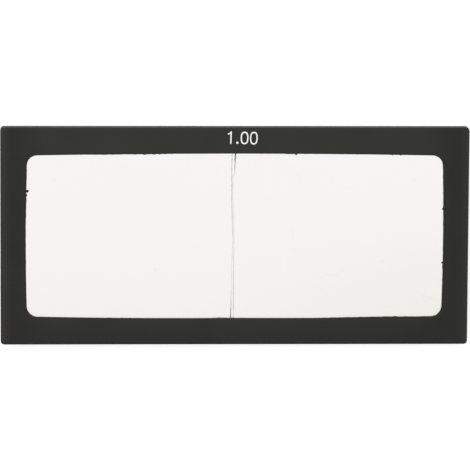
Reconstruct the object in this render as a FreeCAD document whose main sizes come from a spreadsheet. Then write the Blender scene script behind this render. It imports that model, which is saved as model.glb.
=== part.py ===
"""Welding magnifier lens: two plano-convex glass halves with a black plastic frame moulded round them.

The plate lies flat with its back on the plane z = 0 and its printed front facing +Z.
Its long side runs along X, and the origin is below the middle of the plate.
"""

import FreeCAD
import Part
import os
import Sketcher

# Driving sizes in millimetres: name, value and what it measures.
SIZES = [
    ("plate_length", 108.0, "frame along X"),
    ("plate_width", 50.5, "frame along Y"),
    ("plate_thickness", 4.0, "frame along Z"),
    ("plate_corner_radius", 0.8, "corners of the frame seen from the front"),
    ("front_edge_radius", 0.7, "rounding between front face and sides"),
    ("back_edge_radius", 0.4, "rounding between back face and sides"),
    ("side_border", 5.85, "end bar at its narrowest"),
    ("long_border", 6.07, "long bar at its narrowest"),
    ("short_edge_bow", 0.27, "outward bow of the window's short edges"),
    ("long_edge_bow", 0.46, "outward bow of the window's long edges"),
    ("window_corner_radius", 2.5, "corners of the window"),
    ("front_lip_radius", 0.4, "rounding of the window's front lip"),
    ("back_lip_radius", 0.2, "rounding of the window's back lip"),
    ("back_lip_thickness", 0.6, "plastic behind the rims of the glass"),
    ("back_opening_step", 0.3, "how much wider on every side the opening is behind the glass"),
    ("rim_cover", 2.0, "how far the glass reaches under the lips"),
    ("lens_corner_radius", 2.0, "outer corners of the glass"),
    ("lens_centre_thickness", 3.0, "glass at its optical centre"),
    ("grinding_allowance", 0.8, "height of the glass blank above the finished front"),
    ("dioptres", 1.0, "optical power, the number on the frame"),
    ("glass_index", 1.523, "refractive index of the glass"),
    ("optical_centre_spacing", 60.0, "distance between the two optical axes"),
    ("rim_bevel", 0.15, "small bevel ground round each piece of glass"),
    ("seam_top", -0.54, "control points of the left lens's inner edge, from the top"),
    ("seam_upper", -0.70, "second control point"),
    ("seam_middle", -0.26, "third control point"),
    ("seam_lower", -0.71, "fourth control point"),
    ("seam_foot", -0.87, "fifth control point"),
    ("gap_top", 0.81, "gap between the halves at the same five points, from the top"),
    ("gap_upper", 0.13, "second gap"),
    ("gap_middle", 0.05, "third gap, where the halves nearly meet"),
    ("gap_lower", 0.36, "fourth gap"),
    ("gap_foot", 0.59, "fifth gap"),
]

# Formulas in the driving sizes, for lengths that several sketches share. Reach is along X from
# the middle of the plate, and rise is along Y.
WINDOW_REACH = "(Sizes.plate_length / 2 - Sizes.side_border)"
WINDOW_RISE = "(Sizes.plate_width / 2 - Sizes.long_border)"
WINDOW_CORNER_X = f"({WINDOW_REACH} - Sizes.short_edge_bow)"
WINDOW_CORNER_Y = f"({WINDOW_RISE} - Sizes.long_edge_bow)"
LENS_REACH = f"({WINDOW_REACH} + Sizes.rim_cover)"
LENS_RISE = f"({WINDOW_RISE} + Sizes.rim_cover)"
FRONT_CURVE_RADIUS = "(1000 * (Sizes.glass_index - 1) / Sizes.dioptres)"

# The seam's control points, their heights as shares of the lens's rise, and the curve's degree.
SEAM_POINTS = ("top", "upper", "middle", "lower", "foot")
SEAM_HEIGHTS = (1.0, 0.5, 0.0, -0.5, -1.0)
SEAM_DEGREE = 2

# How much further than the lens's own length the cut that grinds its front swings.
SWING_MARGIN = 1.2

TOLERANCE = 0.001
ORIGIN = (-1, 1)
START, END, CENTRE = 1, 2, 3

doc = FreeCAD.newDocument("welding_magnifier_lens")


def make_sheet():
    """Writes the driving sizes into a spreadsheet, one row each, with the name as the alias."""
    sheet = doc.addObject("Spreadsheet::Sheet", "Sizes")
    for row, (name, value, meaning) in enumerate(SIZES, start=1):
        sheet.set(f"A{row}", name)
        sheet.set(f"B{row}", str(value))
        sheet.set(f"C{row}", meaning)
        sheet.setAlias(f"B{row}", name)
    doc.recompute()
    return sheet


sizes = make_sheet()


def number(formula):
    """The present value of a formula in the driving sizes."""
    return float(sizes.evalExpression(str(formula)))


def point(x, y):
    """A point in a sketch from two formulas."""
    return FreeCAD.Vector(number(x), number(y), 0)


def new_body(label):
    body = doc.addObject("PartDesign::Body", label)
    body.Label = label
    return body


def new_sketch(body, name, role):
    """A sketch on one of the body's own origin planes."""
    sketch = body.newObject("Sketcher::SketchObject", name)
    plane = next(f for f in body.Origin.OriginFeatures if f.Role == role)
    sketch.AttachmentSupport = [(plane, "")]
    sketch.MapMode = "FlatFace"
    return sketch


def hold(sketch, geometry, position, x=None, y=None):
    """Ties a sketch point to its distances from the sketch's origin."""
    for kind, formula in (("DistanceX", x), ("DistanceY", y)):
        if formula is not None:
            rule = Sketcher.Constraint(kind, *ORIGIN, geometry, position, number(formula))
            index = sketch.addConstraint(rule)
            sketch.setExpression(f"Constraints[{index}]", formula)


def join(sketch, first, first_position, second, second_position):
    sketch.addConstraint(
        Sketcher.Constraint("Coincident", first, first_position, second, second_position)
    )


def set_radius(sketch, arc, formula):
    index = sketch.addConstraint(Sketcher.Constraint("Radius", arc, number(formula)))
    sketch.setExpression(f"Constraints[{index}]", formula)


def add_polygon(sketch, corners):
    """Straight sides through corners given as pairs of formulas. Returns the sides."""
    places = [point(x, y) for x, y in corners]
    sides = [
        sketch.addGeometry(Part.LineSegment(a, b), False)
        for a, b in zip(places, places[1:] + places[:1])
    ]
    for side, following in zip(sides, sides[1:] + sides[:1]):
        join(sketch, side, END, following, START)
    for side, (x, y) in zip(sides, corners):
        hold(sketch, side, START, x, y)
    return sides


def rectangle(reach, rise):
    return [
        (f"-{reach}", f"-{rise}"),
        (reach, f"-{rise}"),
        (reach, rise),
        (f"-{reach}", rise),
    ]


def add_bowed_rectangle(sketch, reach, rise, side_bow, long_bow):
    """Four arcs through the corners (reach, rise), each bowed outward by its own height."""
    corners = rectangle(reach, rise)
    places = [point(x, y) for x, y in corners]
    middles = [
        point("0", f"-({rise} + {long_bow})"),
        point(f"{reach} + {side_bow}", "0"),
        point("0", f"{rise} + {long_bow}"),
        point(f"-({reach} + {side_bow})", "0"),
    ]
    arcs = []
    for a, middle, b in zip(places, middles, places[1:] + places[:1]):
        arcs.append(sketch.addGeometry(Part.Arc(a, middle, b), False))
    for arc, following in zip(arcs, arcs[1:] + arcs[:1]):
        join(sketch, arc, END, following, START)
    for arc, (x, y) in zip(arcs, corners):
        hold(sketch, arc, START, x, y)
    for index, arc in enumerate(arcs):
        half, bow = (reach, long_bow) if index % 2 == 0 else (rise, side_bow)
        set_radius(sketch, arc, f"({half}^2 + {bow}^2) / (2 * {bow})")


def add_pad(body, sketch, name, length):
    pad = body.newObject("PartDesign::Pad", name)
    pad.Profile = sketch
    pad.Length = number(length)
    pad.setExpression("Length", length)
    sketch.Visibility = False
    doc.recompute()
    return pad


def is_upright(edge):
    box = edge.BoundBox
    return box.XLength < TOLERANCE and box.YLength < TOLERANCE


def names_of(feature, wanted):
    """Names of the feature's edges that pass the test."""
    edges = feature.Shape.Edges
    return [f"Edge{i}" for i, edge in enumerate(edges, start=1) if wanted(edge)]


def round_edges(body, base, name, wanted, radius):
    fillet = body.newObject("PartDesign::Fillet", name)
    fillet.Base = (base, names_of(base, wanted))
    fillet.Radius = number(radius)
    fillet.setExpression("Radius", radius)
    doc.recompute()
    return fillet


def add_window(body, name, step, depth=None):
    """Cuts the bowed window, wider by the step on every side: right through, or from the back."""
    outline = new_sketch(body, f"{name}Outline", "XY_Plane")
    corner = (f"({WINDOW_CORNER_X} + {step})", f"({WINDOW_CORNER_Y} + {step})")
    add_bowed_rectangle(outline, *corner, "Sizes.short_edge_bow", "Sizes.long_edge_bow")
    before = body.Tip.Shape.Volume
    window = body.newObject("PartDesign::Pocket", name)
    window.Profile = outline
    if depth is None:
        window.Type = "ThroughAll"
        window.Midplane = True
    else:
        window.Reversed = True
        window.Length = number(depth)
        window.setExpression("Length", depth)
    outline.Visibility = False
    doc.recompute()
    if window.Shape.Volume >= before:
        raise RuntimeError(f"{name} cuts nothing from the plate")
    return window


def make_frame_blank():
    """The frame before the glass takes its room: a plate with a bowed window and rounded edges."""
    body = new_body("frame_blank")
    outline = new_sketch(body, "FrameOutline", "XY_Plane")
    add_polygon(outline, rectangle("(Sizes.plate_length / 2)", "(Sizes.plate_width / 2)"))
    plate = add_pad(body, outline, "Plate", "Sizes.plate_thickness")
    round_edges(body, plate, "PlateCorners", is_upright, "Sizes.plate_corner_radius")

    middle_x = number("Sizes.plate_length / 2 - Sizes.side_border / 2")
    middle_y = number("Sizes.plate_width / 2 - Sizes.long_border / 2")
    front = number("Sizes.plate_thickness")

    def is_outer(edge):
        centre = edge.CenterOfMass
        return abs(centre.x) > middle_x or abs(centre.y) > middle_y

    def lies_at(edge, height):
        box = edge.BoundBox
        return abs(box.ZMin - height) < TOLERANCE and abs(box.ZMax - height) < TOLERANCE

    def rises_inside(edge):
        return is_upright(edge) and not is_outer(edge) and edge.BoundBox.ZMin < TOLERANCE

    window = add_window(body, "Window", "0")
    radius = "Sizes.window_corner_radius"
    round_edges(body, window, "WindowCorners", rises_inside, radius)

    # The wider opening behind ends inside the room of the glass, which is taken out last.
    glass_middle = "(Sizes.back_lip_thickness + Sizes.lens_centre_thickness / 2)"
    back_window = add_window(body, "BackWindow", "Sizes.back_opening_step", glass_middle)
    radius = "Sizes.window_corner_radius + Sizes.back_opening_step"
    back_corners = round_edges(body, back_window, "BackWindowCorners", rises_inside, radius)

    front_edge = round_edges(
        body,
        back_corners,
        "FrontEdge",
        lambda e: lies_at(e, front) and is_outer(e),
        "min(Sizes.front_edge_radius; Sizes.plate_corner_radius * 0.9)",
    )
    back_edge = round_edges(
        body,
        front_edge,
        "BackEdge",
        lambda e: lies_at(e, 0) and is_outer(e),
        "min(Sizes.back_edge_radius; Sizes.plate_corner_radius * 0.9)",
    )
    front_lip = round_edges(
        body,
        back_edge,
        "FrontLip",
        lambda e: lies_at(e, front) and not is_outer(e),
        "Sizes.front_lip_radius",
    )
    round_edges(
        body,
        front_lip,
        "BackLip",
        lambda e: lies_at(e, 0) and not is_outer(e),
        "min(Sizes.back_lip_radius; Sizes.back_lip_thickness * 0.9)",
    )
    return body


def seam_point(name, side):
    """Formula for the X of one control point of a lens's inner edge."""
    if side < 0:
        return f"Sizes.seam_{name}"
    return f"(Sizes.seam_{name} + Sizes.gap_{name})"


def add_seam_edge(sketch, side):
    """The inner edge as ground by hand: a smooth curve that wanders about the middle line."""
    controls = [
        (seam_point(name, side), f"({share} * {LENS_RISE})")
        for name, share in zip(SEAM_POINTS, SEAM_HEIGHTS)
    ]
    curve = Part.BSplineCurve()
    curve.buildFromPoles([point(x, y) for x, y in controls], False, SEAM_DEGREE)
    edge = sketch.addGeometry(curve, False)
    sketch.exposeInternalGeometry(edge)
    circles = [i for i, g in enumerate(sketch.Geometry) if isinstance(g, Part.Circle)]
    for circle, (x, y) in zip(circles, controls):
        hold(sketch, circle, CENTRE, x, y)
    return edge


def add_lens_outline(sketch, side):
    """Three straight sides under the frame's lips, closed by the inner edge."""
    seam = add_seam_edge(sketch, side)
    reach = f"({side} * {LENS_REACH})"
    top_in = point(seam_point("top", side), LENS_RISE)
    top_out = point(reach, LENS_RISE)
    foot_out = point(reach, f"-{LENS_RISE}")
    foot_in = point(seam_point("foot", side), f"-{LENS_RISE}")
    foot = sketch.addGeometry(Part.LineSegment(foot_in, foot_out), False)
    outer = sketch.addGeometry(Part.LineSegment(foot_out, top_out), False)
    top = sketch.addGeometry(Part.LineSegment(top_out, top_in), False)
    join(sketch, seam, END, foot, START)
    join(sketch, foot, END, outer, START)
    join(sketch, outer, END, top, START)
    join(sketch, top, END, seam, START)
    hold(sketch, outer, START, reach, f"-{LENS_RISE}")
    hold(sketch, outer, END, reach, LENS_RISE)


def grind_front(body, blank, side):
    """Takes away the glass above the spherical front.

    The profile stands across the lens through its optical axis, with the sphere's centre as the
    sketch's origin, and swings about the level line through that centre, lengthwise to both ends.
    """
    profile = new_sketch(body, "FrontCurve", "YZ_Plane")
    vertex = "(Sizes.back_lip_thickness + Sizes.lens_centre_thickness)"
    profile.setExpression("AttachmentOffset.Base.y", f"{vertex} - {FRONT_CURVE_RADIUS}")
    profile.setExpression("AttachmentOffset.Base.z", f"{side} * Sizes.optical_centre_spacing / 2")
    reach = f"({LENS_RISE} + Sizes.rim_cover)"
    drop = f"({FRONT_CURVE_RADIUS} - sqrt({FRONT_CURVE_RADIUS}^2 - {LENS_REACH}^2))"
    above = f"({FRONT_CURVE_RADIUS} + Sizes.grinding_allowance + 2 * {drop})"
    rim_height = f"sqrt({FRONT_CURVE_RADIUS}^2 - {reach}^2)"
    right = point(reach, rim_height)
    left = point(f"-{reach}", rim_height)
    right_above = point(reach, above)
    left_above = point(f"-{reach}", above)
    arc = profile.addGeometry(Part.Arc(right, point("0", FRONT_CURVE_RADIUS), left), False)
    left_side = profile.addGeometry(Part.LineSegment(left, left_above), False)
    lid = profile.addGeometry(Part.LineSegment(left_above, right_above), False)
    right_side = profile.addGeometry(Part.LineSegment(right_above, right), False)
    join(profile, arc, END, left_side, START)
    join(profile, left_side, END, lid, START)
    join(profile, lid, END, right_side, START)
    join(profile, right_side, END, arc, START)
    join(profile, arc, CENTRE, *ORIGIN)
    set_radius(profile, arc, FRONT_CURVE_RADIUS)
    hold(profile, arc, START, reach)
    hold(profile, arc, END, f"-{reach}")
    hold(profile, lid, START, f"-{reach}", above)
    hold(profile, lid, END, reach, above)
    front = body.newObject("PartDesign::Groove", "Front")
    front.Profile = profile
    front.ReferenceAxis = (profile, ["H_Axis"])
    front.Midplane = True
    front.setExpression("Angle", f"{SWING_MARGIN} * 2 * asin({LENS_REACH} / {FRONT_CURVE_RADIUS})")
    profile.Visibility = False
    doc.recompute()
    if front.Shape.Volume >= blank.Shape.Volume:
        raise RuntimeError("the front curve takes nothing from the blank")
    return front


def is_wall(face):
    """Whether a face stands upright at its middle."""
    u_low, u_high, v_low, v_high = face.ParameterRange
    normal = face.normalAt((u_low + u_high) / 2, (v_low + v_high) / 2)
    return abs(normal.z) < TOLERANCE


def bevel_rims(body, front):
    """A fine bevel along every edge between the walls of the glass and its two faces."""
    walls = [face for face in front.Shape.Faces if is_wall(face)]
    rims = [edge for wall in walls for edge in wall.Edges if not is_upright(edge)]
    bevel = body.newObject("PartDesign::Chamfer", "RimBevel")
    bevel.Base = (front, names_of(front, lambda e: any(e.isSame(rim) for rim in rims)))
    bevel.Size = number("Sizes.rim_bevel")
    bevel.setExpression("Size", "Sizes.rim_bevel")
    doc.recompute()
    return bevel


def make_lens(label, side):
    """One half of the glass. The side is -1 for the left half and 1 for the right."""
    body = new_body(label)
    outline = new_sketch(body, "LensOutline", "XY_Plane")
    outline.setExpression("AttachmentOffset.Base.z", "Sizes.back_lip_thickness")
    add_lens_outline(outline, side)
    blank_height = "Sizes.lens_centre_thickness + Sizes.grinding_allowance"
    blank = add_pad(body, outline, "GlassBlank", blank_height)
    seam_zone = number(LENS_REACH) / 2
    corners = round_edges(
        body,
        blank,
        "OuterCorners",
        lambda e: is_upright(e) and abs(e.CenterOfMass.x) > seam_zone,
        "Sizes.lens_corner_radius",
    )
    front = grind_front(body, corners, side)
    bevel_rims(body, front)
    return body


def make_frame(blank, lenses):
    """The moulded frame: the plastic fills all the room that the glass leaves inside the blank."""
    glass = doc.addObject("Part::MultiFuse", "glass_pair")
    glass.Shapes = lenses
    frame = doc.addObject("Part::Cut", "frame")
    frame.Label = "frame"
    frame.Base = blank
    frame.Tool = glass
    doc.recompute()
    return frame


def check_document(parts):
    """Stops before anything is written if a feature failed or a shape is not one sound solid."""
    for feature in doc.Objects:
        if "Invalid" in feature.State or "Error" in feature.State:
            raise RuntimeError(f"{feature.Label} failed: {feature.State}")
    for part in parts:
        shape = part.Shape
        if shape.isNull() or not shape.isValid() or len(shape.Solids) != 1:
            raise RuntimeError(f"{part.Label} is not one valid solid")


def main():
    left_lens = make_lens("left_lens", -1)
    right_lens = make_lens("right_lens", 1)
    frame = make_frame(make_frame_blank(), [left_lens, right_lens])
    parts = [frame, left_lens, right_lens]
    doc.recompute()
    check_document(parts)
    os.makedirs("parts", exist_ok=True)
    for part in parts:
        part.Shape.exportStep(f"parts/{part.Label}.step")
        print(part.Label, round(part.Shape.Volume, 1), "cubic millimetres")


main()
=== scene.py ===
import math

import bpy
from mathutils import Matrix, Vector, noise


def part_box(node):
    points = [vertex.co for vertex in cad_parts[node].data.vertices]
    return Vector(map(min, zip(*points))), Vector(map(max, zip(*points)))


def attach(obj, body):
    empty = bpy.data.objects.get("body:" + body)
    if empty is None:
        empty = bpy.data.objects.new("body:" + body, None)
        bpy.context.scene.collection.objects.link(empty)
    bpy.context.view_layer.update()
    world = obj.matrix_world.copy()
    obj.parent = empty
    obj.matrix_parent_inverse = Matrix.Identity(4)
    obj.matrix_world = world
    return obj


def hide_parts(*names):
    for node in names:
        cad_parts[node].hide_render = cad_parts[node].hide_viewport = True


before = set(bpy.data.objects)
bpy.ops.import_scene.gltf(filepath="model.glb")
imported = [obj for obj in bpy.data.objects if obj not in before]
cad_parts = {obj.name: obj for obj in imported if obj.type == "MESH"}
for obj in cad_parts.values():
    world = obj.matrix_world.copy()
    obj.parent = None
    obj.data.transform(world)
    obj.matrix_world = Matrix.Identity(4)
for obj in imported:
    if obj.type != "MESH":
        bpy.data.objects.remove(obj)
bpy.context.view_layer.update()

# Looks of the welding magnifier lens: matte moulded frame, polished glass halves, printed number.
# Lengths are in metres, except where a name or a comment says mm or px.
MM = 0.001
ROOT = "root"

# Camera, as fitted to the plate's outline in the photograph.
PHOTO_SIDE_PX = 470
FOCAL_PX = 4322.8
CAMERA_DISTANCE = 1.0
CAMERA_TILT = 0.1372
CAMERA_PAN = -0.0412
CAMERA_ROLL = 0.00509
PLATE_CENTRE_PX = (234.23, 234.16)
SENSOR_WIDTH_MM = 36.0
CLIP_START = 0.01
CLIP_END = 50.0

# Plate, window and glass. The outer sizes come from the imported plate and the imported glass.
PLATE_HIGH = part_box("frame")[1]
HALF_LENGTH = PLATE_HIGH.x
HALF_WIDTH = PLATE_HIGH.y
FRONT_Z = PLATE_HIGH.z
SIDE_BORDER = 5.85 * MM
LONG_BORDER = 6.07 * MM
WINDOW_REACH = HALF_LENGTH - SIDE_BORDER
WINDOW_RISE = HALF_WIDTH - LONG_BORDER
SHORT_EDGE_BOW = 0.27 * MM
LONG_EDGE_BOW = 0.46 * MM
WINDOW_CORNER = 2.5 * MM
LENS_CORNER = 2.0 * MM
FRONT_RADIUS = 523.0 * MM
OPTICAL_CENTRE = 30.0 * MM
RIM_BEVEL = 0.15 * MM
GLASS_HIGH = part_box("left_lens")[1]
GLASS_VERTEX_Z = GLASS_HIGH.z
GLASS_RISE = GLASS_HIGH.y

# Studio: a white floor, an even world and two soft lamps.
FLOOR_SIDE = 16.0
FLOOR_DROP = 0.02 * MM
FLOOR_ALBEDO = 0.8
FLOOR_GLOW = 0.54
WORLD_LIGHT = 0.69
KEY = {"place": (-0.75, 0.85, 1.3), "side": 0.9, "power": 10.5}
FILL = {"place": (1.1, -0.5, 1.0), "side": 0.8, "power": 2.1}

# Colours of the materials, and the refractive indices of the clear ones.
WHITE = (1, 1, 1, 1)
PLASTIC_DEEP = (0.0187, 0.0184, 0.0166, 1)
PLASTIC_PALE = (0.0330, 0.0328, 0.0290, 1)
GLASS_TINT = (0.933, 0.897, 0.889, 1)
# Painted shade on the glass: toward its foot, and deeper still at its lower right.
GLASS_FOOT_SHADE = (0.898, 0.863, 0.847, 1)
GLASS_LOWER_RIGHT_SHADE = (0.840, 0.840, 0.792, 1)
GLASS_HAZE = (0.89, 0.868, 0.85, 1)
GLASS_MARK = (0.60, 0.58, 0.56, 1)
GROUND_PALE = (0.87, 0.808, 0.810, 1)
GROUND_PAINTED_SHADE = (0.386, 0.336, 0.340, 1)
CEMENT_CLEAR = (0.95, 0.935, 0.925, 1)
CEMENT_FOOT_COLOUR = (0.91, 0.895, 0.875, 1)
INK_DIM = (0.90, 0.90, 0.89, 1)
INK_BRIGHT = (0.95, 0.95, 0.94, 1)
GLASS_IOR = 1.523
CEMENT_IOR = 1.5

# Hairline marks and specks on the glass: start, end, half-width (mm) and how strongly each shows.
GLASS_MARKS = (
    ((13.2, 1.6), (13.6, -1.4), 0.26, 0.08),
    ((13.0, -2.6), (13.9, -3.6), 0.2, 0.09),
    ((12.3, -8.2), (12.6, -9.6), 0.3, 0.08),
    ((20.6, -8.7), (22.2, -9.35), 0.14, 0.18),
    ((22.2, -9.35), (23.4, -9.35), 0.14, 0.22),
    ((23.4, -9.35), (24.7, -8.5), 0.14, 0.2),
    ((24.7, -8.5), (25.0, -7.4), 0.14, 0.14),
    ((17.6, -11.3), (20.4, -12.6), 0.16, 0.1),
    ((-18.3, -7.8), (-18.25, -7.95), 0.42, 0.2),
    ((34.15, -6.0), (34.2, -6.05), 0.4, 0.25),
    ((-41.9, 13.0), (-41.6, 12.7), 0.35, 0.12),
    ((41.0, 13.2), (41.6, 12.8), 0.45, 0.08),
    ((43.6, -14.2), (47.0, -14.9), 0.35, 0.1),
    ((43.9, -16.4), (46.9, -13.2), 0.3, 0.08),
    ((14.2, 14.6), (14.8, 13.9), 0.4, 0.05),
)

# Heights (mm) between which painted shade on the ground edges deepens, and between which that fades out
# again.
# On the left glass the fade lies beyond the top end, so that edge stays in painted shade up there.
GROUND_LEFT = {"faint_at": -5, "dark_at": 6, "fade_from": 25, "fade_to": 26}
GROUND_RIGHT = {"faint_at": -2, "dark_at": -12, "fade_from": -16.9, "fade_to": -17.6}

# Grid of each glass half. Its rows crowd together toward the two ends.
LENS_ROWS = 220
LENS_COLUMNS = 48
ROW_CROWDING = 0.35
FACE_POINTS = (LENS_ROWS + 1) * (LENS_COLUMNS + 1)
RIM_POINTS = 2 * (LENS_ROWS + LENS_COLUMNS)

# Control points of the left glass's inner edge, from the top down, and the gap from there to the
# right glass's inner edge, in mm.
SEAM_LEFT = (-0.54, -0.70, -0.26, -0.71, -0.87)
SEAM_GAP = (0.81, 0.13, 0.05, 0.36, 0.59)
CURVE_HALVINGS = 30

# How far the ground inner edges stray from their smooth curves: height and distance along X, in mm.
SEAM_STRAY = {
    -1: (
        (21.0, 0.0),
        (7.5, -0.05),
        (3.5, -0.07),
        (-2.0, 0.05),
        (-8.1, -0.04),
        (-12.8, 0.07),
        (-18.3, -0.03),
        (-19.2, -0.10),
        (-21.0, -0.10),
    ),
    1: (
        (21.0, 0.10),
        (17.0, 0.10),
        (14.5, 0.13),
        (13.6, -0.28),
        (10.5, -0.20),
        (7.5, 0.04),
        (3.5, 0.08),
        (-2.0, 0.08),
        (-9.0, 0.02),
        (-17.0, 0.05),
        (-21.0, 0.05),
    ),
}

# The smooth noise that makes an edge stray a little.
WANDER_SMOOTHNESS = 0.8
WANDER_FREQUENCY_STEP = 2.0
WANDER_OCTAVES = 4

# Fine wear of the bevel along the seam, as a share of the bevel, the length of its ripples, and
# where in the noise they are taken.
BEVEL_WEAR = 0.6
LEAST_WEAR = -0.5
WEAR_RIPPLE = 0.9 * MM
WEAR_SIDE_PLACE = 3.1
WEAR_PLACE = 0.2

# The film of plastic round the window: the spacing of its stations, its plain and its least width
# (below zero it ends behind the window's wall), its ripples and where in the noise they are taken,
# how far its root reaches behind the wall, how deep it sits and how high it stands.
STATION_STEP = 0.12 * MM
FILM_WIDTH = 0.012 * MM
FILM_LEAST_WIDTH = -0.05 * MM
FILM_WANDER = 0.05 * MM
FILM_RIPPLE = 1.1 * MM
FILM_PLACE = 4.2
FILM_ROOT = 0.12 * MM
FILM_SUNK = 0.02 * MM
FILM_THICKNESS = 0.06 * MM
FILM_EDGE_SHARE = 0.4

# Places on each side of the window where the film of plastic creeps further over the glass:
# where along that side, how far it creeps and over what half-width, in mm.
FILM_BUMPS = {
    "left": (
        (14.5, 0.10, 4.5),
        (10.41, 0.06, 0.12),
        (9.50, 0.28, 0.16),
        (6.8, 0.09, 2.8),
        (8.45, 0.06, 0.45),
        (-14.5, -0.12, 5.0),
    ),
    "right": (
        (6.30, 0.44, 0.14),
        (6.75, 0.08, 0.35),
        (-5.2, -0.09, 0.7),
        (-6.21, 0.42, 0.15),
        (-7.1, 0.05, 0.8),
        (-12.5, -0.04, 3.5),
    ),
    "top": (
        (-45.5, -0.09, 2.5),
        (-30.0, 0.10, 5.0),
        (-22.8, 0.04, 0.5),
        (-20.86, 0.14, 0.28),
        (-18.56, 0.11, 0.24),
        (-17.42, 0.09, 0.2),
        (-16.08, 0.08, 0.35),
        (-20.0, 0.12, 5.5),
        (-11.5, 0.07, 0.9),
        (-1.0, -0.06, 6.0),
        (12.5, 0.13, 1.8),
        (14.03, 0.36, 0.19),
        (16.5, 0.05, 1.8),
        (19.0, 0.05, 4.0),
        (28.5, 0.03, 1.5),
        (36.3, 0.18, 0.22),
        (38.15, 0.20, 0.24),
        (43.4, 0.11, 0.25),
        (43.5, -0.10, 3.0),
    ),
    "foot": (
        (-40.0, -0.05, 7.0),
        (-12.0, -0.10, 9.0),
        (-4.7, 0.10, 0.9),
        (-3.2, 0.17, 1.0),
        (-1.9, 0.11, 0.6),
        (4.0, -0.14, 8.0),
        (27.0, 0.08, 5.0),
        (35.0, 0.12, 5.0),
        (37.3, 0.08, 0.4),
    ),
}

# A round bead of plastic that stands almost free of the window's left edge, in mm: its place, its
# radius and how deep it sits in the glass. Its height and its lobes are shares of its radius, and
# the turn is the angle by which its two lobes are shifted.
BEAD = (-47.79, 10.42)
BEAD_RADIUS = 0.34
BEAD_SUNK = 0.03
BEAD_HEIGHT = 0.7
BEAD_TWO_LOBES = 0.08
BEAD_FIVE_LOBES = 0.04
BEAD_TURN = 0.6
BEAD_RINGS = 7
BEAD_STEPS = 24

# Wedges of plastic in the ends of the seam: name, side of the seam, height of the root and of the
# tip, and width at the root, in mm. The pinch is a thin place: where it is and how long are shares
# of the wedge's length, how deep is a share of its width.
SLIVERS = (
    ("seam_sliver_top", 1, 19.3, 14.4, 0.22),
    ("seam_sliver_foot", -1, -19.4, -14.4, 0.14),
)
SLIVER_STEPS = 40
SLIVER_TAPER = 0.8
SLIVER_PINCH = 0.545
SLIVER_PINCH_LENGTH = 0.045
SLIVER_PINCH_DEPTH = 0.75
SLIVER_LEAST_WIDTH = 0.006 * MM
SLIVER_SUNK = 0.2 * MM
SLIVER_BASE_Z = 0.9 * MM

# Cement in the seam, a little wider than the seam itself.
CEMENT_STEPS = 160
CEMENT_END_GAP = 0.5 * MM
CEMENT_OVERLAP = 0.01 * MM
CEMENT_SUNK = 0.45 * MM
CEMENT_BASE_Z = 1.0 * MM

# The printed number. Each zero: name, centre, half width and height, thickness of its sides, in
# mm. The powers make the ovals squarer than an ellipse, whose power is 2.
INK_PROUD = 0.008 * MM
INK_ROOT = 0.02 * MM
ZEROS = (
    ("number_zero_a", (2.10, 22.86), 0.892, 1.458, 0.292),
    ("number_zero_b", (4.24, 22.815), 0.875, 1.473, 0.287),
)
ZERO_END_STROKE = 0.308
ZERO_POWER = 2.5
ZERO_SLANT = 0.014
POINT = (0.45, 21.755)
POINT_RADIUS = 0.25
POINT_POWER = 2.2

# Corners of the figure one, each with the radius of its rounding, in mm.
ONE = (
    (-1.22, 21.51, 0.0),
    (-0.92, 21.51, 0.0),
    (-0.818, 24.45, 0.12),
    (-1.0, 24.42, 0.05),
    (-1.32, 23.965, 0.55),
    (-1.785, 23.90, 0.08),
    (-1.72, 23.655, 0.05),
    (-1.43, 23.665, 0.25),
    (-1.14, 23.78, 0.0),
)


def wander(x, y, z):
    """Smooth noise around zero at a place."""
    place = Vector((x, y, z))
    return noise.fractal(place, WANDER_SMOOTHNESS, WANDER_FREQUENCY_STEP, WANDER_OCTAVES)


def new_mesh(name, points, faces, materials, slots=None, smooth=True):
    """A closed mesh piece that rides on the plate."""
    mesh = bpy.data.meshes.new(name)
    mesh.from_pydata([tuple(p) for p in points], [], faces)
    for material in materials:
        mesh.materials.append(material)
    for index, polygon in enumerate(mesh.polygons):
        polygon.use_smooth = smooth
        if slots:
            polygon.material_index = slots[index]
    mesh.validate()
    piece = bpy.data.objects.new(name, mesh)
    bpy.context.scene.collection.objects.link(piece)
    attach(piece, ROOT)
    return piece


def ring_faces(rings, stations, closed=True):
    """Quads between rings of points that follow one another, each ring with as many stations."""
    faces = []
    pairs = list(zip(range(rings), range(1, rings)))
    if closed:
        pairs.append((rings - 1, 0))
    for a, b in pairs:
        for i in range(stations):
            j = (i + 1) % stations
            faces.append((a * stations + i, a * stations + j, b * stations + j, b * stations + i))
    return faces


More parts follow.
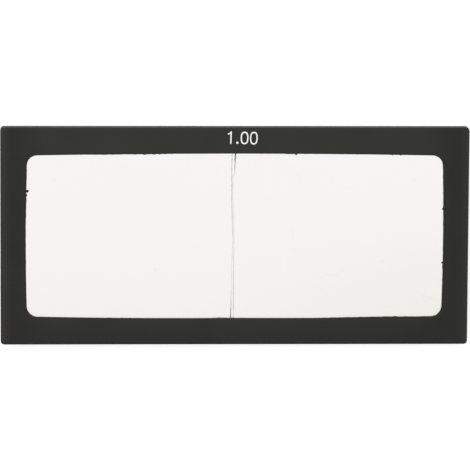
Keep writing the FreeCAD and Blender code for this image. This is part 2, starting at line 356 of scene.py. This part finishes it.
class Nodes:
    """A short way to write a material's node tree."""

    def __init__(self, tree):
        self.tree = tree
        tree.nodes.clear()

    def add(self, kind, settings=None, inputs=None):
        node = self.tree.nodes.new(kind)
        for key, value in (settings or {}).items():
            setattr(node, key, value)
        for key, value in (inputs or {}).items():
            if isinstance(value, bpy.types.NodeSocket):
                self.tree.links.new(value, node.inputs[key])
            else:
                node.inputs[key].default_value = value
        return node

    def coordinates(self):
        return self.add("ShaderNodeTexCoord").outputs["Object"]

    def split(self, vector):
        return self.add("ShaderNodeSeparateXYZ", inputs={0: vector}).outputs

    def stretched(self, vector, scale, turn=0.0):
        return self.add(
            "ShaderNodeMapping",
            inputs={"Vector": vector, "Scale": scale, "Rotation": (0.0, 0.0, turn)},
        ).outputs[0]

    def noise(self, vector, scale, detail=2.0, roughness=0.5):
        return self.add(
            "ShaderNodeTexNoise",
            inputs={"Vector": vector, "Scale": scale, "Detail": detail, "Roughness": roughness},
        ).outputs["Fac"]

    def ramp(self, factor, low, high, low_at=0.3, high_at=0.7):
        node = self.add("ShaderNodeMapRange", inputs={"Value": factor})
        node.inputs["From Min"].default_value = low_at
        node.inputs["From Max"].default_value = high_at
        node.inputs["To Min"].default_value = low
        node.inputs["To Max"].default_value = high
        return node.outputs["Result"]

    def mix(self, factor, first, second):
        node = self.add("ShaderNodeMix", {"data_type": "RGBA"})
        for socket, value in ((0, factor), (6, first), (7, second)):
            if isinstance(value, bpy.types.NodeSocket):
                self.tree.links.new(value, node.inputs[socket])
            else:
                node.inputs[socket].default_value = value
        return node.outputs[2]

    def math(self, operation, first, second=0.0):
        return self.add("ShaderNodeMath", {"operation": operation}, {0: first, 1: second}).outputs[0]

    def vector_math(self, operation, first, second, output="Vector"):
        node = self.add("ShaderNodeVectorMath", {"operation": operation}, {0: first, 1: second})
        return node.outputs[output]

    def scaled(self, vector, factor):
        inputs = {0: vector, "Scale": factor}
        return self.add("ShaderNodeVectorMath", {"operation": "SCALE"}, inputs).outputs[0]

    def bump(self, height, strength, distance, normal=None):
        inputs = {"Height": height, "Strength": strength, "Distance": distance}
        if normal is not None:
            inputs["Normal"] = normal
        return self.add("ShaderNodeBump", inputs=inputs).outputs[0]

    def surface(self, shader):
        output = self.add("ShaderNodeOutputMaterial")
        self.tree.links.new(shader, output.inputs["Surface"])


def new_material(name):
    """An empty node material and the means to fill it."""
    material = bpy.data.materials.new(name)
    material.use_nodes = True
    return material, Nodes(material.node_tree)


def plastic_painted_shade(n, axes, reach):
    """Painted light and shade: paler toward the top bar, deeper on the side bars and at the lower right.
    """
    fade = n.ramp(axes[1], -0.12, 0.1, low_at=-HALF_WIDTH, high_at=-WINDOW_RISE)
    fade = n.math("ADD", fade, n.ramp(axes[1], 0.0, 0.08, low_at=-WINDOW_RISE, high_at=HALF_WIDTH))
    sides = n.ramp(reach, 0.0, 0.25, low_at=WINDOW_REACH - 6 * MM, high_at=WINDOW_REACH + 2 * MM)
    fade = n.math("SUBTRACT", fade, sides)
    low = n.ramp(axes[1], 0.1, 0.0, low_at=-WINDOW_RISE, high_at=-WINDOW_RISE + 4 * MM)
    right = n.ramp(axes[0], 0.0, 1.0, low_at=10 * MM, high_at=36 * MM)
    fade = n.math("SUBTRACT", fade, n.math("MULTIPLY", low, right))
    return n.math("MAXIMUM", fade, -0.14)


def make_plastic():
    """Matte black moulded plastic: fine grain, faint cloudiness and light rub marks, with painted light
    and shade over the bars and a painted highlight on the ends.
    """
    material, n = new_material("black_plastic")
    place = n.coordinates()
    cloud = n.noise(place, 90.0, detail=3.0)
    grain = n.noise(place, 5200.0, detail=2.0, roughness=0.6)
    streaks = n.stretched(place, (160.0, 2600.0, 900.0), turn=0.5)
    rub = n.noise(streaks, 1.0, detail=3.0, roughness=0.7)
    axes = n.split(place)
    reach = n.math("ABSOLUTE", axes[0])
    mottle = n.math("ADD", n.math("MULTIPLY", cloud, 0.3), n.math("MULTIPLY", grain, 0.45))
    # Painted light and shade over the bars, added to the random mottle.
    tone = n.math("ADD", mottle, plastic_painted_shade(n, axes, reach))
    # Painted highlight on the plate's two ends, stronger at the left end.
    lit_ends = n.ramp(reach, 0.0, 1.0, low_at=HALF_LENGTH - 2.6 * MM, high_at=HALF_LENGTH - 0.4 * MM)
    amount = n.ramp(axes[0], 0.46, 0.28, low_at=-MM, high_at=MM)
    tone = n.math("ADD", tone, n.math("MULTIPLY", n.math("POWER", lit_ends, 1.5), amount))
    tone = n.ramp(tone, 0.0, 1.0, low_at=0.1, high_at=0.6)
    rubbed = n.ramp(rub, 0.0, 0.07, low_at=0.55, high_at=0.75)
    normal = n.bump(grain, 0.22, 0.03 * MM)
    shader = n.add(
        "ShaderNodeBsdfPrincipled",
        inputs={
            "Base Color": n.mix(tone, PLASTIC_DEEP, PLASTIC_PALE),
            "Roughness": n.math("ADD", n.ramp(cloud, 0.42, 0.5), rubbed),
            "Normal": n.bump(rub, 0.1, 0.01 * MM, normal),
            "Specular IOR Level": 0.08,
        },
    )
    n.surface(shader.outputs[0])
    return material


def mark_mask(n, place, start, end, width):
    """One where a hairline mark runs from start to end (mm on the front), falling to zero beside it."""
    start, end = Vector(start) * MM, Vector(end) * MM
    along = end - start
    flat = n.vector_math("MULTIPLY", place, (1, 1, 0))
    offset = n.vector_math("SUBTRACT", flat, (start.x, start.y, 0))
    reach = n.vector_math("DOT_PRODUCT", offset, (along.x, along.y, 0), "Value")
    share = n.ramp(reach, 0.0, 1.0, low_at=0.0, high_at=along.length_squared)
    nearest = n.scaled((along.x, along.y, 0), share)
    away = n.vector_math("DISTANCE", offset, nearest, "Value")
    return n.ramp(away, 1.0, 0.0, low_at=0.0, high_at=width * MM)


def make_polished_glass():
    """Polished glass: a warm tint with painted shade that deepens toward the foot and at the lower right,
    a little haze and hairline marks.
    """
    material, n = new_material("polished_glass")
    place = n.coordinates()
    axes = n.split(place)
    haze = n.noise(place, 60.0, detail=4.0, roughness=0.6)
    height = n.math("ADD", axes[1], n.math("MULTIPLY", haze, 4 * MM))
    # Painted shade, deeper toward the foot and at the lower right.
    low = n.math("POWER", n.ramp(height, 1.0, 0.0, low_at=-19 * MM, high_at=16 * MM), 1.6)
    right = n.ramp(axes[0], 0.0, 1.0, low_at=-4 * MM, high_at=45 * MM)
    colour = n.mix(low, GLASS_TINT, GLASS_FOOT_SHADE)
    colour = n.mix(n.math("MULTIPLY", low, right), colour, GLASS_LOWER_RIGHT_SHADE)
    colour = n.mix(n.ramp(haze, 0.0, 0.25, low_at=0.45, high_at=0.8), colour, GLASS_HAZE)
    marks = 0.0
    for start, end, width, weight in GLASS_MARKS:
        mask = n.math("MULTIPLY", mark_mask(n, place, start, end, width), weight)
        marks = n.math("MAXIMUM", mask, marks)
    rough = n.ramp(haze, 0.0, 0.02, low_at=0.5, high_at=0.8)
    shader = n.add(
        "ShaderNodeBsdfPrincipled",
        inputs={
            "Base Color": n.mix(marks, colour, GLASS_MARK),
            "Roughness": n.math("ADD", rough, n.math("MULTIPLY", marks, 0.3)),
            "IOR": GLASS_IOR,
            "Transmission Weight": 1.0,
        },
    )
    n.surface(shader.outputs[0])
    return material


def make_ground_glass(name, faint_at, dark_at, fade_from, fade_to):
    """The finely ground rims and bevels of a piece of glass, with painted shade between the given
    heights.
    """
    material, n = new_material(name)
    place = n.coordinates()
    grit = n.noise(place, 9000.0, detail=2.0, roughness=0.6)
    cloud = n.noise(place, 400.0, detail=2.0)
    height = n.split(place)[1]
    # Painted shade on the ground edges between the given heights, fading out again beyond them.
    dark = n.ramp(height, 0.0, 1.0, low_at=faint_at * MM, high_at=dark_at * MM)
    dark = n.math("ADD", dark, n.math("MULTIPLY", cloud, 0.4))
    dark = n.ramp(dark, 0.0, 1.0, low_at=0.1, high_at=1.3)
    fade = n.ramp(height, 1.0, 0.0, low_at=fade_from * MM, high_at=fade_to * MM)
    shader = n.add(
        "ShaderNodeBsdfPrincipled",
        inputs={
            "Base Color": n.mix(n.math("MULTIPLY", dark, fade), GROUND_PALE, GROUND_PAINTED_SHADE),
            "Roughness": n.ramp(grit, 0.45, 0.7),
            "Normal": n.bump(grit, 0.4, 0.02 * MM),
            "IOR": GLASS_IOR,
            "Transmission Weight": 0.75,
        },
    )
    n.surface(shader.outputs[0])
    return material


def make_cement():
    """Clear, slightly yellow cement between the two halves of the glass, yellower toward the foot."""
    material, n = new_material("clear_cement")
    place = n.coordinates()
    cloud = n.noise(n.stretched(place, (900.0, 260.0, 900.0)), 1.0, detail=3.0)
    height = n.math("ADD", n.split(place)[1], n.math("MULTIPLY", cloud, 4 * MM))
    footward = n.ramp(height, 1.0, 0.0, low_at=-4 * MM, high_at=16 * MM)
    shader = n.add(
        "ShaderNodeBsdfPrincipled",
        inputs={
            "Base Color": n.mix(footward, CEMENT_CLEAR, CEMENT_FOOT_COLOUR),
            "Roughness": n.ramp(cloud, 0.05, 0.16),
            "IOR": CEMENT_IOR,
            "Transmission Weight": 1.0,
        },
    )
    n.surface(shader.outputs[0])
    return material


def make_ink():
    """White printing ink, slightly uneven."""
    material, n = new_material("white_ink")
    mottle = n.noise(n.coordinates(), 2600.0, detail=3.0, roughness=0.6)
    tone = n.ramp(mottle, 0.0, 1.0, low_at=0.3, high_at=0.6)
    shader = n.add(
        "ShaderNodeBsdfPrincipled",
        inputs={
            "Base Color": n.mix(tone, INK_DIM, INK_BRIGHT),
            "Roughness": n.ramp(mottle, 0.45, 0.6),
            "Specular IOR Level": 0.3,
            "Normal": n.bump(mottle, 0.15, 0.01 * MM),
        },
    )
    n.surface(shader.outputs[0])
    return material


def make_floor_material():
    """A white floor that shows pure white to the camera, apart from the plate's soft shadow."""
    material, n = new_material("studio_floor")
    path = n.add("ShaderNodeLightPath").outputs
    strength = n.math("MULTIPLY", path["Is Camera Ray"], FLOOR_GLOW)
    glow = n.add("ShaderNodeEmission", inputs={"Color": WHITE, "Strength": strength})
    albedo = (FLOOR_ALBEDO, FLOOR_ALBEDO, FLOOR_ALBEDO, 1)
    lit = n.add("ShaderNodeBsdfDiffuse", inputs={"Color": albedo})
    floor = n.add("ShaderNodeAddShader", inputs={0: glow.outputs[0], 1: lit.outputs[0]})
    white = n.add("ShaderNodeEmission", inputs={"Color": WHITE, "Strength": 1.0})
    seen = n.math("MAXIMUM", path["Is Glossy Ray"], path["Is Transmission Ray"])
    inputs = {0: seen, 1: floor.outputs[0], 2: white.outputs[0]}
    n.surface(n.add("ShaderNodeMixShader", inputs=inputs).outputs[0])
    return material


def make_world():
    """An even white world that is at full white to the camera, in gloss and through the glass."""
    world = bpy.data.worlds.new("studio")
    world.use_nodes = True
    bpy.context.scene.world = world
    n = Nodes(world.node_tree)
    path = n.add("ShaderNodeLightPath").outputs
    white = n.math("MAXIMUM", path["Is Camera Ray"], path["Is Transmission Ray"])
    white = n.math("MAXIMUM", white, path["Is Glossy Ray"])
    strength = n.ramp(white, WORLD_LIGHT, 1.0, low_at=0.0, high_at=1.0)
    background = n.add("ShaderNodeBackground", inputs={"Color": WHITE, "Strength": strength})
    n.add("ShaderNodeOutputWorld", inputs={"Surface": background.outputs[0]})


def add_lamp(name, place, side, power):
    """A square lamp that faces the plate."""
    lamp = bpy.data.lights.new(name, "AREA")
    lamp.shape = "SQUARE"
    lamp.size = side
    lamp.energy = power
    holder = bpy.data.objects.new(name, lamp)
    holder.location = place
    holder.rotation_mode = "QUATERNION"
    holder.rotation_quaternion = (-Vector(place)).to_track_quat("-Z", "Y")
    bpy.context.scene.collection.objects.link(holder)


def make_studio():
    """The world, the two lamps, and the floor that the plate lies on."""
    make_world()
    add_lamp("key_lamp", **KEY)
    add_lamp("fill_lamp", **FILL)
    half = FLOOR_SIDE / 2
    mesh = bpy.data.meshes.new("floor")
    corners = [(-half, -half), (half, -half), (half, half), (-half, half)]
    mesh.from_pydata([(x, y, -FLOOR_DROP) for x, y in corners], [], [(0, 1, 2, 3)])
    mesh.materials.append(make_floor_material())
    floor = bpy.data.objects.new("floor", mesh)
    bpy.context.scene.collection.objects.link(floor)


def make_camera():
    """Looks down on the plate from the side of its number, at the photograph's angle."""
    tilt, pan = CAMERA_TILT, CAMERA_PAN
    back = Vector((math.sin(pan) * math.cos(tilt), math.sin(tilt), math.cos(pan) * math.cos(tilt)))
    level = Vector((0, 1, 0)).cross(back).normalized()
    upright = back.cross(level)
    c, s = math.cos(CAMERA_ROLL), math.sin(CAMERA_ROLL)
    right = c * level + s * upright
    up = c * upright - s * level
    scale = CAMERA_DISTANCE / FOCAL_PX
    offset_x = (PHOTO_SIDE_PX / 2 - PLATE_CENTRE_PX[0]) * scale
    offset_y = (PHOTO_SIDE_PX / 2 - PLATE_CENTRE_PX[1]) * scale
    data = bpy.data.cameras.new("camera")
    data.sensor_width = SENSOR_WIDTH_MM
    data.lens = FOCAL_PX * SENSOR_WIDTH_MM / PHOTO_SIDE_PX
    data.clip_start = CLIP_START
    data.clip_end = CLIP_END
    camera = bpy.data.objects.new("camera", data)
    bpy.context.scene.collection.objects.link(camera)
    turn = Matrix((right, up, back)).transposed().to_4x4()
    place = back * CAMERA_DISTANCE + right * offset_x - up * offset_y
    camera.matrix_world = Matrix.Translation(place) @ turn
    bpy.context.scene.camera = camera


def front_height(x, y, side, vertex_z=GLASS_VERTEX_Z):
    """Height of the spherical front of the left (-1) or right (1) piece of glass."""
    away = (x - side * OPTICAL_CENTRE) ** 2 + y * y
    return vertex_z - FRONT_RADIUS + math.sqrt(FRONT_RADIUS**2 - away)


def glass_front(x, y):
    """Height of the front of the glass, whichever piece lies there."""
    return front_height(x, y, math.copysign(1, x))


def seam_curve(controls_mm, height_share):
    """X of an inner edge at a height from -1 to 1, on three parabolas that five control points steer.

    The points stand at heights 1, 0.5, 0, -0.5 and -1. The parabolas meet at 0.25 and -0.25.
    """
    top, upper, middle, lower, foot = (c * MM for c in controls_mm)
    above, below = (upper + middle) / 2, (middle + lower) / 2
    if height_share > 0.25:
        span = ((1.0, top), (0.5, upper), (0.25, above))
    elif height_share > -0.25:
        span = ((0.25, above), (0.0, middle), (-0.25, below))
    else:
        span = ((-0.25, below), (-0.5, lower), (-1.0, foot))
    (y0, x0), (y1, x1), (y2, x2) = span
    low, high = 0.0, 1.0
    for _ in range(CURVE_HALVINGS):
        t = (low + high) / 2
        y = (1 - t) ** 2 * y0 + 2 * t * (1 - t) * y1 + t * t * y2
        low, high = (t, high) if y > height_share else (low, t)
    return (1 - t) ** 2 * x0 + 2 * t * (1 - t) * x1 + t * t * x2


def seam_edge(side, y):
    """X of the inner edge of the left (-1) or right (1) piece of glass at a height."""
    controls = SEAM_LEFT if side < 0 else [a + b for a, b in zip(SEAM_LEFT, SEAM_GAP)]
    stray = 0.0
    places = SEAM_STRAY[side]
    for (high, high_stray), (low, low_stray) in zip(places, places[1:]):
        share = (y / MM - low) / (high - low)
        if 0.0 <= share <= 1.0:
            share = share * share * (3 - 2 * share)
            stray = (low_stray + (high_stray - low_stray) * share) * MM
    return seam_curve(controls, y / GLASS_RISE) + stray


def lens_rows(side, reach, rise, inset):
    """Rows of a glass half's plan: the ends of each at the seam and at the rim, and its height."""
    rows = []
    for row in range(LENS_ROWS + 1):
        share = row / LENS_ROWS * 2 - 1
        share = math.sin(share * math.pi / 2) * ROW_CROWDING + share * (1 - ROW_CROWDING)
        y = share * (rise - inset)
        amount = max(LEAST_WEAR, wander(y / WEAR_RIPPLE, side * WEAR_SIDE_PLACE, WEAR_PLACE))
        inner = seam_edge(side, y) + side * inset * (1 + BEVEL_WEAR * amount)
        depth = max(abs(y) - (rise - LENS_CORNER), 0.0)
        corner = LENS_CORNER - math.sqrt(max(LENS_CORNER**2 - depth**2, 0.0))
        rows.append((inner, side * (reach - inset - corner), y))
    return rows


def lens_plan(rows, row, column):
    """X and Y of a place on the plan's grid."""
    inner, outer, y = rows[row]
    return inner + (outer - inner) * column / LENS_COLUMNS, y


def lens_index(row, column):
    """Number of a place on the plan's grid."""
    return row * (LENS_COLUMNS + 1) + column


def lens_rim():
    """Places on the plan's grid all round its edge: row and column."""
    rim = [(0, column) for column in range(LENS_COLUMNS + 1)]
    rim += [(row, LENS_COLUMNS) for row in range(1, LENS_ROWS + 1)]
    rim += [(LENS_ROWS, column) for column in range(LENS_COLUMNS - 1, -1, -1)]
    rim += [(row, 0) for row in range(LENS_ROWS - 1, 0, -1)]
    return rim


def lens_points(side, low, high):
    """Points of both faces inside their bevels, then of the wall's front and back edges."""
    reach = high.x if side > 0 else -low.x
    face_rows = lens_rows(side, reach, high.y, RIM_BEVEL)
    wall_rows = lens_rows(side, reach, high.y, 0.0)
    front, back = [], []
    for row in range(LENS_ROWS + 1):
        for column in range(LENS_COLUMNS + 1):
            x, y = lens_plan(face_rows, row, column)
            front.append((x, y, front_height(x, y, side, high.z)))
            back.append((x, y, low.z))
    front_wall, back_wall = [], []
    for row, column in lens_rim():
        x, y = lens_plan(wall_rows, row, column)
        front_wall.append((x, y, front_height(x, y, side, high.z) - RIM_BEVEL))
        back_wall.append((x, y, low.z + RIM_BEVEL))
    return front + back + front_wall + back_wall


def lens_faces(side):
    """Faces of a glass half and their material slots: 0 on polished faces, 1 on bevels and wall."""
    rim = lens_rim()
    front_wall = 2 * FACE_POINTS
    back_wall = front_wall + RIM_POINTS
    faces, slots = [], []
    for row in range(LENS_ROWS):
        for column in range(LENS_COLUMNS):
            corners = ((row, column), (row, column + 1), (row + 1, column + 1), (row + 1, column))
            quad = [lens_index(*corner) for corner in corners]
            faces.append(quad)
            faces.append([FACE_POINTS + i for i in reversed(quad)])
            slots += [0, 0]
    for i in range(RIM_POINTS):
        j = (i + 1) % RIM_POINTS
        top_i, top_j = lens_index(*rim[i]), lens_index(*rim[j])
        wall_i, wall_j = front_wall + i, front_wall + j
        base_i, base_j = back_wall + i, back_wall + j
        faces.append([wall_i, wall_j, top_j, top_i])
        faces.append([base_i, base_j, wall_j, wall_i])
        faces.append([FACE_POINTS + top_i, FACE_POINTS + top_j, base_j, base_i])
        slots += [1, 1, 1]
    if side < 0:
        faces = [list(reversed(face)) for face in faces]
    return faces, slots


def is_rim_edge(a, b):
    """Whether an edge of a glass half is where a bevel meets a polished face or the wall."""
    on_wall = (a >= 2 * FACE_POINTS, b >= 2 * FACE_POINTS)
    if all(on_wall):
        return abs(a - b) in (1, RIM_POINTS - 1)
    if any(on_wall):
        return False
    row_a, column_a = divmod(a % FACE_POINTS, LENS_COLUMNS + 1)
    row_b, column_b = divmod(b % FACE_POINTS, LENS_COLUMNS + 1)
    along_side = column_a == column_b and column_a in (0, LENS_COLUMNS)
    along_end = row_a == row_b and row_a in (0, LENS_ROWS)
    return along_side or along_end


def make_lens(node, side, polished, ground):
    """One glass half in place of its plain solid: a fine spherical front, bevels and ground rims."""
    faces, slots = lens_faces(side)
    lens = new_mesh(node + "_glass", lens_points(side, *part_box(node)), faces, [polished, ground], slots)
    for edge in lens.data.edges:
        edge.use_edge_sharp = is_rim_edge(*edge.vertices)
    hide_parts(node)
    let_light_through(lens)


def let_light_through(piece):
    """Clear glass neither shades the floor nor dims the light that the plastic gets."""
    piece.visible_shadow = False
    piece.visible_diffuse = False


def window_outline():
    """Stations along the window's wall, anticlockwise, each a point and the direction inward."""
    half_x, half_y = WINDOW_REACH - SHORT_EDGE_BOW, WINDOW_RISE - LONG_EDGE_BOW

    def long_y(x):
        return WINDOW_RISE - LONG_EDGE_BOW * (x / half_x) ** 2

    def short_x(y):
        return WINDOW_REACH - SHORT_EDGE_BOW * (y / half_y) ** 2

    corner_y = long_y(half_x - WINDOW_CORNER) - WINDOW_CORNER
    corner_x = short_x(corner_y) - WINDOW_CORNER
    quarter = []
    steps = round(corner_y / STATION_STEP)
    for i in range(steps):
        y = corner_y * i / steps
        quarter.append(Vector((short_x(y), y)))
    steps = round(WINDOW_CORNER * math.pi / 2 / STATION_STEP)
    for i in range(steps):
        angle = math.pi / 2 * i / steps
        x = corner_x + WINDOW_CORNER * math.cos(angle)
        quarter.append(Vector((x, corner_y + WINDOW_CORNER * math.sin(angle))))
    steps = round(corner_x / STATION_STEP)
    for i in range(steps):
        x = corner_x * (1 - i / steps)
        quarter.append(Vector((x, long_y(x))))
    loop = quarter + [Vector((0.0, WINDOW_RISE))]
    loop += [Vector((-p.x, p.y)) for p in reversed(quarter)]
    loop += [Vector((-p.x, -p.y)) for p in quarter[1:]] + [Vector((0.0, -WINDOW_RISE))]
    loop += [Vector((p.x, -p.y)) for p in reversed(quarter[1:])]
    stations = []
    for i, point in enumerate(loop):
        along = loop[(i + 1) % len(loop)] - loop[i - 1]
        stations.append((point, Vector((-along.y, along.x)).normalized()))
    return stations


def film_width(point, inward):
    """How far the film of plastic reaches over the glass at a station of the window's wall."""
    ripple = wander(point.x / FILM_RIPPLE, point.y / FILM_RIPPLE, FILM_PLACE)
    width = FILM_WIDTH + FILM_WANDER * ripple
    if abs(inward.x) > abs(inward.y):
        side, along = ("left" if point.x < 0 else "right"), point.y
    else:
        side, along = ("top" if point.y > 0 else "foot"), point.x
    for place, far, wide in FILM_BUMPS[side]:
        width += far * MM * math.exp(-(((along / MM - place) / wide) ** 2))
    return max(width, FILM_LEAST_WIDTH)


def make_film(plastic):
    """The thin film of plastic that crept over the glass all round the window."""
    rings = [[], [], [], []]
    for point, inward in window_outline():
        outer = point - inward * FILM_ROOT
        inner = point + inward * film_width(point, inward)
        for ring, place, lift in (
            (rings[0], outer, -FILM_SUNK),
            (rings[1], inner, -FILM_SUNK),
            (rings[2], inner, FILM_THICKNESS * FILM_EDGE_SHARE),
            (rings[3], outer, FILM_THICKNESS),
        ):
            ring.append((place.x, place.y, glass_front(place.x, place.y) + lift))
    points = [p for ring in rings for p in ring]
    film = new_mesh("window_film", points, ring_faces(len(rings), len(rings[0])), [plastic])


def make_bead(plastic):
    """The bead of plastic by the window's left edge, a flat and slightly lumpy dome on the glass."""
    points = []
    for ring in range(BEAD_RINGS):
        angle = math.pi / 2 * ring / BEAD_RINGS
        for i in range(BEAD_STEPS):
            turn = 2 * math.pi * i / BEAD_STEPS
            two, five = math.sin(2 * turn + BEAD_TURN), math.sin(5 * turn)
            wide = BEAD_RADIUS * math.cos(angle) * (1 + BEAD_TWO_LOBES * two + BEAD_FIVE_LOBES * five)
            x = (BEAD[0] + wide * math.cos(turn)) * MM
            y = (BEAD[1] + wide * math.sin(turn)) * MM
            lift = BEAD_RADIUS * BEAD_HEIGHT * math.sin(angle) - BEAD_SUNK
            points.append((x, y, glass_front(x, y) + lift * MM))
    crown = (BEAD[0] * MM, BEAD[1] * MM)
    points.append((*crown, glass_front(*crown) + (BEAD_RADIUS * BEAD_HEIGHT - BEAD_SUNK) * MM))
    top = len(points) - 1
    faces = ring_faces(BEAD_RINGS, BEAD_STEPS, closed=False)
    last = (BEAD_RINGS - 1) * BEAD_STEPS
    faces += [(last + i, last + (i + 1) % BEAD_STEPS, top) for i in range(BEAD_STEPS)]
    faces.append(tuple(reversed(range(BEAD_STEPS))))
    bead = new_mesh("window_bead", points, faces, [plastic])


def make_strip(name, left_line, right_line, sunk, base_z, material):
    """A closed strip between two lines of plan points that run side by side, sunk below the glass."""
    steps = len(left_line) - 1
    count = 2 * len(left_line)
    loop = list(left_line) + list(right_line)[::-1]
    area = sum(a[0] * b[1] - b[0] * a[1] for a, b in zip(loop, loop[1:] + loop[:1]))
    base = [(x, y, base_z) for x, y in loop]
    top = [(x, y, glass_front(x, y) - sunk) for x, y in loop]
    faces = ring_faces(2, count, closed=False)
    for i in range(steps):
        a, b = i, count - 1 - i
        faces.append((a, b, b - 1, a + 1))
        faces.append((count + a, count + a + 1, count + b - 1, count + b))
    if area < 0:
        faces = [tuple(reversed(face)) for face in faces]
    return new_mesh(name, base + top, faces, [material], smooth=False)


def make_seam_slivers(plastic):
    """Plastic that ran into the two ends of the seam: thin wedges along one lens's edge."""
    for name, side, root_y, tip_y, width in SLIVERS:
        edge_line, free_line = [], []
        for i in range(SLIVER_STEPS + 1):
            share = i / SLIVER_STEPS
            y = (root_y + (tip_y - root_y) * share) * MM
            x = seam_edge(side, y)
            thick = width * MM * (1 - share) ** SLIVER_TAPER
            off_pinch = (share - SLIVER_PINCH) / SLIVER_PINCH_LENGTH
            pinch = 1 - SLIVER_PINCH_DEPTH * math.exp(-(off_pinch**2))
            edge_line.append((x, y))
            free_line.append((x - side * (thick * pinch + SLIVER_LEAST_WIDTH), y))
        lines = (edge_line, free_line) if side < 0 else (free_line, edge_line)
        sliver = make_strip(name, *lines, SLIVER_SUNK, SLIVER_BASE_Z, plastic)


def make_seam_cement(cement):
    """The cement that fills the seam, sunk a little below the glass on both sides."""
    reach = GLASS_RISE - CEMENT_END_GAP
    left_line, right_line = [], []
    for i in range(CEMENT_STEPS + 1):
        y = reach * (2 * i / CEMENT_STEPS - 1)
        left_line.append((seam_edge(-1, y) - CEMENT_OVERLAP, y))
        right_line.append((seam_edge(1, y) + CEMENT_OVERLAP, y))
    strip = make_strip("seam_cement", left_line, right_line, CEMENT_SUNK, CEMENT_BASE_Z, cement)
    let_light_through(strip)


def oval(centre, half_width, half_height, power, slant=0.0, steps=72):
    """A closed oval outline: an ellipse at power 2, squarer above it."""
    loop = []
    for i in range(steps):
        angle = 2 * math.pi * i / steps
        c, s = math.cos(angle), math.sin(angle)
        x = centre[0] + half_width * math.copysign(abs(c) ** (2 / power), c)
        y = half_height * math.copysign(abs(s) ** (2 / power), s)
        loop.append((x + slant * y, centre[1] + y))
    return loop


def rounded_outline(corners, steps=8):
    """A closed outline through corners given as x, y and radius, with an arc at each of them."""
    loop = []
    for i, (x, y, radius) in enumerate(corners):
        if radius == 0.0:
            loop.append((x, y))
            continue
        corner = Vector((x, y))
        to_last = (Vector(corners[i - 1][:2]) - corner).normalized()
        to_next = (Vector(corners[(i + 1) % len(corners)][:2]) - corner).normalized()
        half = to_last.angle(to_next) / 2
        centre = corner + (to_last + to_next).normalized() * radius / math.sin(half)
        start = corner + to_last * radius / math.tan(half) - centre
        end = corner + to_next * radius / math.tan(half) - centre
        for step in range(steps + 1):
            arm = start.slerp(end, step / steps).normalized() * radius
            loop.append((centre.x + arm.x, centre.y + arm.y))
    return loop


def make_number(ink):
    """The dioptre number, printed on the top bar."""
    top_z = FRONT_Z + INK_PROUD
    base_z = FRONT_Z - INK_ROOT

    def at(loop, z):
        return [(x * MM, y * MM, z) for x, y in loop]

    for name, centre, half_width, half_height, stroke in ZEROS:
        outer = oval(centre, half_width, half_height, ZERO_POWER, ZERO_SLANT)
        inner_size = (half_width - stroke, half_height - ZERO_END_STROKE)
        inner = oval(centre, *inner_size, ZERO_POWER, ZERO_SLANT)
        points = at(outer, base_z) + at(outer, top_z) + at(inner, top_z) + at(inner, base_z)
        zero = new_mesh(name, points, ring_faces(4, len(outer)), [ink], smooth=False)
    point = oval(POINT, POINT_RADIUS, POINT_RADIUS, POINT_POWER)
    for name, loop in (("number_point", point), ("number_one", rounded_outline(ONE))):
        count = len(loop)
        points = at(loop, base_z) + at(loop, top_z)
        faces = ring_faces(2, count, closed=False)
        faces.append(tuple(reversed(range(count))))
        faces.append(tuple(range(count, 2 * count)))
        piece = new_mesh(name, points, faces, [ink], smooth=False)


def dress_frame(plastic):
    """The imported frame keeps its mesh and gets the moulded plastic."""
    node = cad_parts["frame"]
    node.data.materials.clear()
    node.data.materials.append(plastic)


bpy.context.scene.view_settings.view_transform = "Standard"
make_camera()
make_studio()
plastic_material = make_plastic()
polished_material = make_polished_glass()
dress_frame(plastic_material)
make_lens("left_lens", -1, polished_material, make_ground_glass("ground_glass_left", **GROUND_LEFT))
make_lens("right_lens", 1, polished_material, make_ground_glass("ground_glass_right", **GROUND_RIGHT))
make_seam_cement(make_cement())
make_film(plastic_material)
make_bead(plastic_material)
make_seam_slivers(plastic_material)
make_number(make_ink())
